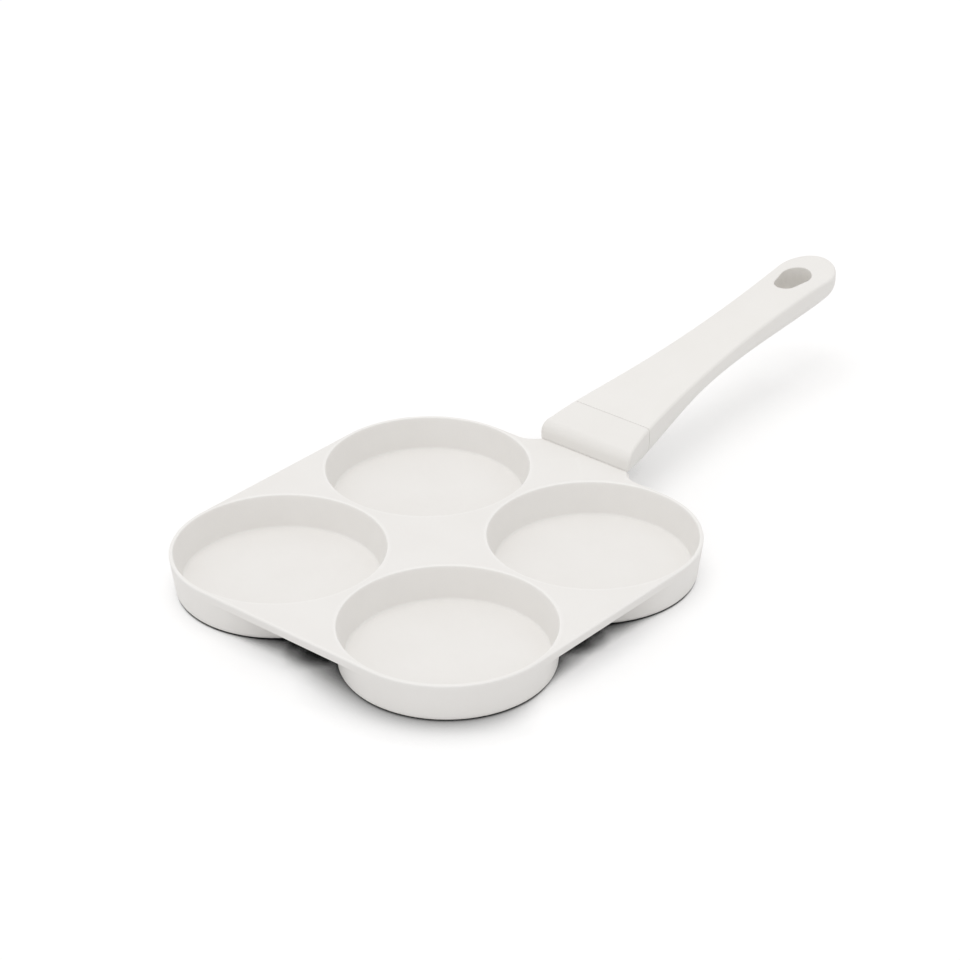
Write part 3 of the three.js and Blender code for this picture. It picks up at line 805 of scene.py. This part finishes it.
def half_section(place, half, drop=0.0, raise_low=0.0, sideways=1.0):
    """Pairs of distance from the handle's middle and height, from the top's middle to the underside's.
    place gives x at a distance, so that the same section also fans round the tail."""
    crown = crown_at(place(half)) * sideways
    size = min(TOP_ROUND, half)
    tilt = math.atan2(2 * crown, half - size) if half > size else 0.0
    flat = half - size * (1 - math.sin(tilt))
    points = []
    for share in np.linspace(0, 1, TOP_STEPS + 1):
        points.append((flat * share, handle_top(place(flat * share)) - drop - crown * share * share))
    for turn in np.linspace(math.pi / 2 - tilt, 0, EDGE_STEPS + 1)[1:]:
        out = half - size * (1 - math.cos(turn))
        fall = size * (math.cos(tilt) - math.sin(turn))
        points.append((out, handle_top(place(out)) - drop - crown - fall))
    for turn in np.linspace(0, math.pi / 2, UNDER_STEPS + 1):
        out = half * max(math.cos(turn), 0.0) ** (2 / SQUARENESS)
        x = place(out)
        low = handle_bottom(x) + raise_low
        side_top = handle_top(x) - drop - crown - size * math.cos(tilt)
        shoulder = side_top - side_share(x) * (side_top - low)
        points.append((out, shoulder - (shoulder - low) * math.sin(turn) ** (2 / SQUARENESS)))
    return points


def ring(x, side=0.0, drop=0.0, raise_low=0.0):
    """A whole section at x, drawn in at its sides, top and underside."""
    half = half_section(lambda out: x, half_width(x) - side, drop, raise_low)
    return [(x, -out, z) for out, z in half] + [(x, out, z) for out, z in half[-2:0:-1]]


def loft(rings, front_cap=True, back_cap=True):
    """Points and faces of a skin over rings of equal counts."""
    count = len(rings[0])
    faces = []
    for i in range(len(rings) - 1):
        for j in range(count):
            k = (j + 1) % count
            faces.append([i * count + j, i * count + k, (i + 1) * count + k, (i + 1) * count + j])
    if front_cap:
        faces.append(list(range(count)))
    if back_cap:
        faces.append([(len(rings) - 1) * count + j for j in range(count)])
    return [point for section in rings for point in section], faces


print(f"sections of {len(ring(seam))} points")

# %% [markdown]
# ## The tang
# The casting doesn't end at the lug: a cranked tongue runs on through the collar into the grip, and
# the screws bite into it. It is hidden, but it carries the whole handle, so it belongs to the casting
# and is joined to it here.

# %% Tang
TANG_WIDTH, TANG_THICKNESS, TANG_COVER, TANG_INSERT = 22.0, 4.2, 3.5, 27.0
CRANK_LENGTH, CRANK_SHIFT, ROOT_DROP = 11.0, 2.5, 0.5
COLLAR_WALL = 2.2

tongue_from, tongue_to = collar_front + CRANK_LENGTH, seam + TANG_INSERT
tongue_from_top = handle_top(tongue_from) - TANG_COVER
tongue_to_top = handle_top(tongue_to) - TANG_COVER
tongue_angle = math.atan2(tongue_to_top - tongue_from_top, tongue_to - tongue_from)
tongue_depth = TANG_THICKNESS / math.cos(tongue_angle)


def tang_profile(gap):
    """The tang's side view as pairs of x and z, grown by a gap."""
    slack = gap / math.cos(tongue_angle)
    tip_top = tongue_to_top + gap * math.tan(tongue_angle) + slack
    under_from = tongue_from_top + CRANK_SHIFT * math.tan(tongue_angle) - tongue_depth - slack
    return [
        (plate_edge, skirt_low + ROOT_DROP - gap),
        (collar_front + COLLAR_WALL, skirt_low + ROOT_DROP - gap),
        (tongue_from + CRANK_SHIFT, under_from),
        (tongue_to + gap, tip_top - tongue_depth - 2 * slack),
        (tongue_to + gap, tip_top),
        (tongue_from, tongue_from_top + slack),
        (collar_front + COLLAR_WALL, plate_top - ROOT_DROP + gap),
        (plate_edge, plate_top - ROOT_DROP + gap),
    ]


def side_slab(name, profile, width):
    """A side view pushed out to both sides of the middle."""
    rings = [[(x, y, z) for x, z in profile] for y in (-width / 2, width / 2)]
    return new_object(name, *loft(rings))


combine(casting, side_slab("tang", tang_profile(0.0), TANG_WIDTH), "UNION")
print(f"tongue {TANG_WIDTH} by {TANG_THICKNESS} mm, leaning {math.degrees(tongue_angle):.1f} degrees")

# %% Places along the screws
SCREW_RADIUS, FLAT_RADIUS, SPRING_RADIUS = 2.0, 4.5, 3.8
HEAD_RADIUS, HEAD_HEIGHT, HEAD_RIM, HEAD_ROOM = 4.0, 3.1, 1.5, 0.4
FLAT_THICKNESS, SPRING_THICKNESS, SEAT_WEB = 0.8, 0.9, 1.6
SCREWS = {"front": 6.5, "rear": 18.0}
ROUND_SIDES = 48
BORE_PAST = 3.0

seat = -CLEARANCE - SEAT_WEB
flat_low = seat - CLEARANCE - FLAT_THICKNESS
spring_low = flat_low - CLEARANCE - SPRING_THICKNESS
head_high = spring_low - CLEARANCE
head_low = head_high - HEAD_HEIGHT
tongue_under = tongue_from_top + (seam - tongue_from) * math.tan(tongue_angle) - tongue_depth


def at_tongue(points, along):
    """Points made about a screw's axis, carried to its place on the tongue."""
    c, s = math.cos(tongue_angle), math.sin(tongue_angle)
    moved = [(x + along, y, z) for x, y, z in points]
    return [(seam + x * c - z * s, y, tongue_under + x * s + z * c) for x, y, z in moved]


def lathe(profile, sides=ROUND_SIDES):
    """Points and faces of a profile turned about Z, given as pairs of radius and height."""
    turns = [FULL_TURN * i / sides for i in range(sides)]
    rings = [[(r * math.cos(t), r * math.sin(t), z) for r, z in profile] for t in turns]
    rings.append(rings[0])
    return loft(rings, False, False)


def rod(name, along, radius, low, high):
    """A plain rod about a screw's axis, to cut with."""
    points, faces = lathe([(0.0, low), (radius, low), (radius, high), (0.0, high)])
    return new_object(name, at_tongue(points, along), faces)


bore_radius = SCREW_RADIUS + CLEARANCE
for place, along in SCREWS.items():
    bore = rod(place + "_bore", along, bore_radius, -BORE_PAST, TANG_THICKNESS + BORE_PAST)
    combine(casting, bore, "DIFFERENCE")
print("screw bores through the tongue:", ", ".join(SCREWS))

# %% Finish the casting
PALE_LIP_OUT, PALE_LIP_DOWN, PALE_LIP_SPREAD = 0.15, 0.2, 0.55
PALE_EDGE_IN, PALE_EDGE_SPREAD, PALE_EDGE_SHARE = 0.3, 0.6, 0.8


def pale_edge_on_casting(places):
    """How much paler the coat is, as a thinner coat and a painted highlight: most at the mouths' lips
    and along the plate's top edge.
    """
    past = np.abs(places[:, :2]) - half_pitch
    below_top = places[:, 2] - plate_top
    lip_gap = np.hypot(np.hypot(*past.T) - MOUTH_RADIUS - PALE_LIP_OUT, below_top + PALE_LIP_DOWN)
    inset = corner_radius - np.hypot(*np.maximum(past, 0).T) - np.minimum(past.max(1), 0)
    edge_gap = np.hypot(inset - PALE_EDGE_IN, below_top + PALE_EDGE_IN)
    at_lip = np.exp(-((lip_gap / PALE_LIP_SPREAD) ** 2))
    at_edge = PALE_EDGE_SHARE * np.exp(-((edge_gap / PALE_EDGE_SPREAD) ** 2))
    return np.maximum(at_lip, at_edge)


hand_over(casting, ceramic_coat, "pan_body", pale_edge=pale_edge_on_casting)

# %% [markdown]
# ## The collar
# A short sleeve hides the crank. Its front is rolled over softly where it meets the plate, and its
# back ends in a small round, so that the seam to the grip shows as a fine groove. One skin runs
# along the outside, turns in at the seam and comes back along the inside.

# %% Collar
NOSE_ROUND = 4.0
SEAM_ROUND, SEAM_SIDE = 0.25, 0.55
SEAM_GAP = 0.15
FOOT_GAP = 0.06
NOTCH_LENGTH, NOTCH_PAST, NOTCH_LOW = 7.0, 2.0, 5.0
NOSE_STEPS, SLEEVE_STEPS, SEAM_STEPS, INSIDE_STEPS = 10, 8, 4, 6


def seam_round(face, way, start, stop):
    """Sections of the small round at one face of the seam, wider at the sides than on top."""
    rounds = []
    for turn in np.radians(np.linspace(start, stop, SEAM_STEPS + 1)):
        x = face + way * SEAM_ROUND * (1 - math.sin(turn))
        drawn = 1 - math.cos(turn)
        rounds.append(ring(x, SEAM_SIDE * drawn, SEAM_ROUND * drawn, SEAM_SIDE * drawn))
    return rounds


collar_nose = collar_front - CLEARANCE + FOOT_GAP
collar_back = grip_front - SEAM_GAP
sections = []
for turn in np.radians(np.linspace(180, 90, NOSE_STEPS + 1)):
    drawn, along = 1 - math.sin(turn), 1 + math.cos(turn)
    cheek = CHEEK_ROUND * drawn
    sections.append(ring(collar_nose + NOSE_ROUND * along, cheek, NOSE_ROUND * drawn, cheek))
for x in np.linspace(collar_nose + NOSE_ROUND, collar_back - SEAM_ROUND, SLEEVE_STEPS + 1)[1:]:
    sections.append(ring(x))
sections += seam_round(collar_back, -1, 0, 90)[1:]
for x in np.linspace(collar_back, collar_front + COLLAR_WALL, INSIDE_STEPS + 1):
    sections.append(ring(x, COLLAR_WALL, COLLAR_WALL, COLLAR_WALL))
collar = new_object("neck_collar_sleeve", *loft(sections))

notch_top = plate_top - ROOT_DROP + CLEARANCE
notch_from, notch_to = collar_front - NOTCH_PAST, collar_front + NOTCH_LENGTH
notch_side = [
    (notch_from, NOTCH_LOW), (notch_to, NOTCH_LOW), (notch_to, notch_top), (notch_from, notch_top),
]
tang_room = TANG_WIDTH + 2 * CLEARANCE
combine(collar, side_slab("notch", notch_side, tang_room), "DIFFERENCE")
hand_over(collar, collar_coat, "neck_collar")

# %% [markdown]
# ## The grip
# The grip carries on the collar's lines, sinks to a waist, and ends in a round tail. Sections set
# across it would pinch at the tail's end, so there they fan round the tail's middle instead, and the
# top edge keeps its round all the way. Its front has a reduced spigot that goes into the collar.

# %% Grip, outside
SPIGOT_LENGTH = 4.0
SPIGOT_STEPS, GRIP_STEPS, FAN_STEPS = 2, 60, 48

inside = COLLAR_WALL + CLEARANCE
sections = []
for x in np.linspace(seam - SPIGOT_LENGTH, grip_front, SPIGOT_STEPS + 1):
    sections.append(ring(x, inside, inside, inside))
sections += seam_round(grip_front, 1, 90, 0)
for x in np.linspace(grip_front + SEAM_ROUND, tail_centre, GRIP_STEPS + 1)[1:]:
    sections.append(ring(x))
grip_points, grip_faces = loft(sections, back_cap=False)


def fan(turn):
    """Half a section, turned about the tail's middle."""
    def along(out):
        return tail_centre + out * math.cos(turn)

    half = half_section(along, tail_radius, sideways=math.sin(turn) ** 2)
    return [(along(out), out * math.sin(turn), z) for out, z in half]


fans = [fan(turn) for turn in np.radians(np.linspace(-90, 90, FAN_STEPS + 1))]
start = len(grip_points)
count = len(fans[0])
grip_points += [point for fan in fans for point in fan]
for i in range(len(fans) - 1):
    for j in range(count - 1):
        here, there = start + i * count + j, start + (i + 1) * count + j
        grip_faces.append([here, here + 1, there + 1, there])
grip = new_object("handle_grip_moulding", grip_points, grip_faces)
print(f"grip: {len(grip.data.polygons)} faces, {open_edges(grip)} open edges")

# %% [markdown]
# ## The hanging hole
# The hole is pear-shaped, narrower towards the hand, with rounded rims above and below. A plain cutter
# would leave a hard edge, and a bevel would stumble over the small faces that the cut makes. So the
# cutter itself flares out at both ends, and it follows the grip's crowned top and round underside.

# %% Hanging hole
HOLE_LENGTH, HOLE_WIDTH, HOLE_TIP_RADIUS, HOLE_MARGIN = 21.4, 15.0, 5.7, 15.0
HOLE_STEPS = 48
RIM_ROUND, RIM_TURNS = 0.4, (0.0, 15.0, 30.0, 50.0, 70.0)
CUTTER_TURN, CUTTER_PAST = 100.0, 3.0

wide = HOLE_WIDTH / 2
wide_x = tail_end - HOLE_MARGIN - wide
tip_x = tail_end - HOLE_MARGIN - HOLE_LENGTH + HOLE_TIP_RADIUS
swing = math.pi / 2 + math.asin((wide - HOLE_TIP_RADIUS) / (wide_x - tip_x))


def hole_line(grow):
    """The hole's outline in plan, grown by an offset."""
    line = []
    for x, radius, start, stop in (
        (wide_x, wide, -swing, swing),
        (tip_x, HOLE_TIP_RADIUS, swing, FULL_TURN - swing),
    ):
        for turn in np.linspace(start, stop, HOLE_STEPS + 1):
            line.append((x + (radius + grow) * math.cos(turn), (radius + grow) * math.sin(turn)))
    return line


def surfaces(x, y):
    """Heights of the grip's top and underside over a point in plan."""
    past = max(x - tail_centre, 0.0)
    out, turn = math.hypot(past, y), math.atan2(past, abs(y))
    if past > 0:
        sideways = math.cos(turn) ** 2
        half = half_section(lambda d: tail_centre + d * math.sin(turn), tail_radius, sideways=sideways)
    else:
        half = half_section(lambda d: x, half_width(x))
    split = TOP_STEPS + EDGE_STEPS + 1
    outs, heights = np.array(half).T
    top = np.interp(out, outs[:split], heights[:split])
    low = np.interp(out, outs[split:][::-1], heights[split:][::-1])
    return top, low


levels = []
for turn in np.radians((*RIM_TURNS, CUTTER_TURN)):
    levels.append((RIM_ROUND * (1 - math.cos(turn)), RIM_ROUND * (1 - math.sin(turn))))
levels[-1] = (levels[-1][0], -CUTTER_PAST)
rings = []
for grow, depth in reversed(levels):
    rings.append([(x, y, surfaces(x, y)[1] + depth) for x, y in hole_line(grow)])
for grow, depth in levels:
    rings.append([(x, y, surfaces(x, y)[0] - depth) for x, y in hole_line(grow)])
combine(grip, new_object("hole_cutter", *loft(rings)), "DIFFERENCE")
print(f"hole {HOLE_LENGTH} by {HOLE_WIDTH} mm with rims of {RIM_ROUND} mm")

# %% Socket for the tang, screw recesses
BORE_OVERLAP, RECESS_PAST = 2.0, 15.0

combine(grip, side_slab("socket", tang_profile(CLEARANCE), tang_room), "DIFFERENCE")
for place, along in SCREWS.items():
    bore = rod(place + "_clear", along, bore_radius, seat - BORE_OVERLAP, 0.0)
    combine(grip, bore, "DIFFERENCE")
    recess = rod(place + "_recess", along, FLAT_RADIUS + HEAD_ROOM, head_low - RECESS_PAST, seat)
    combine(grip, recess, "DIFFERENCE")
hand_over(grip, moulding, "handle_grip")

# %% [markdown]
# ## The fasteners
# Two M4 screws come up from below. Each has a domed head with a cross recess, a split washer that
# keeps it from working loose, and a flat washer that spreads its load over the moulding. A turned
# profile gives the round pieces, and the thread is a radius that winds round as it climbs.

# %% Screws
THREAD_PITCH, THREAD_DEPTH, THREAD_POINTS, THREAD_EASE = 0.7, 0.4, 8, 0.8
CROSS_SPAN, CROSS_SLOT, CROSS_DEPTH, CROSS_TAPER, CROSS_PAST = 4.4, 1.1, 1.8, 0.62, 1.0
HEAD_CHAMFER, DOME_STEPS = 0.2, 12
TIP_GAP = 0.5
SCREW_SHARP_ANGLE = 28.0

tip = TANG_THICKNESS - TIP_GAP


def screw(name, along):
    """A domed head, a winding thread and a cross recess, about one screw's axis."""
    profile = []
    for turn in np.radians(np.linspace(-90, 0, DOME_STEPS + 1)):
        z = head_high - HEAD_RIM + (HEAD_HEIGHT - HEAD_RIM) * math.sin(turn)
        profile.append((HEAD_RADIUS * math.cos(turn), z))
    profile += [(HEAD_RADIUS, head_high - HEAD_CHAMFER), (HEAD_RADIUS - HEAD_CHAMFER, head_high)]
    heights = np.arange(head_high, tip, THREAD_PITCH / THREAD_POINTS)
    rings = []
    for i in range(ROUND_SIDES):
        turn = FULL_TURN * i / ROUND_SIDES
        section = [(r * math.cos(turn), r * math.sin(turn), z) for r, z in profile]
        for z in heights:
            winding = (z / THREAD_PITCH - i / ROUND_SIDES) % 1.0
            ease = min((z - head_high) / THREAD_EASE, (tip - z) / THREAD_EASE, 1.0)
            radius = SCREW_RADIUS - THREAD_DEPTH * (1 - ease * (1 - abs(2 * winding - 1)))
            section.append((radius * math.cos(turn), radius * math.sin(turn), z))
        section.append((0.0, 0.0, tip))
        rings.append(section)
    count = len(rings[0])
    faces = []
    for i in range(ROUND_SIDES):
        here, there = i * count, (i + 1) % ROUND_SIDES * count
        faces += [[here + j, here + j + 1, there + j + 1, there + j] for j in range(count - 1)]
    made = new_object(name, at_tongue([p for section in rings for p in section], along), faces)
    for span, slot in ((CROSS_SPAN, CROSS_SLOT), (CROSS_SLOT, CROSS_SPAN)):
        levels = []
        for depth, share in ((-CROSS_PAST, 1.0), (0.0, 1.0), (CROSS_DEPTH, CROSS_TAPER)):
            a, b = span / 2 * share, slot / 2 * share
            levels.append([(x, y, head_low + depth) for x, y in ((-a, -b), (a, -b), (a, b), (-a, b))])
        points, faces = loft(levels)
        combine(made, new_object("cross", at_tongue(points, along), faces), "DIFFERENCE")
    return made


for place, along in SCREWS.items():
    made = screw(place + "_screw_turned", along)
    hand_over(made, steel, place + "_screw", sharp=SCREW_SHARP_ANGLE)

# %% Washers
FLAT_CHAMFER, FLAT_SIDES = 0.12, 64
SLIT_HALF, SLIT_LEAN, SLIT_LIFT, SPLIT_STEPS = math.radians(5.0), math.radians(3.0), 0.11, 60


def flat_washer(name, along):
    """A flat ring with its outer edges broken."""
    low, high, shoulder = flat_low, flat_low + FLAT_THICKNESS, FLAT_RADIUS - FLAT_CHAMFER
    profile = [
        (bore_radius, low), (shoulder, low), (FLAT_RADIUS, low + FLAT_CHAMFER),
        (FLAT_RADIUS, high - FLAT_CHAMFER), (shoulder, high), (bore_radius, high), (bore_radius, low),
    ]
    points, faces = lathe(profile, FLAT_SIDES)
    return new_object(name, at_tongue(points, along), faces)


def split_washer(name, along):
    """A ring with a leaning slit, its two ends lifted apart."""
    low, high = spring_low, spring_low + SPRING_THICKNESS
    corners = [
        (bore_radius, low, -1), (SPRING_RADIUS, low, -1),
        (SPRING_RADIUS, high, 1), (bore_radius, high, 1),
    ]
    rings = []
    for turn in np.linspace(SLIT_HALF, FULL_TURN - SLIT_HALF, SPLIT_STEPS + 1):
        rise = SLIT_LIFT * (turn / math.pi - 1)
        section = []
        for radius, z, way in corners:
            angle = turn + way * SLIT_LEAN * math.cos(turn / 2) ** 2
            section.append((radius * math.cos(angle), radius * math.sin(angle), z + rise))
        rings.append(section)
    points, faces = loft(rings)
    return new_object(name, at_tongue(points, along), faces)


for place, along in SCREWS.items():
    made = flat_washer(place + "_flat_washer_turned", along)
    hand_over(made, steel, place + "_flat_washer")
    made = split_washer(place + "_split_washer", along)
    hand_over(made, steel, place + "_spring_washer")
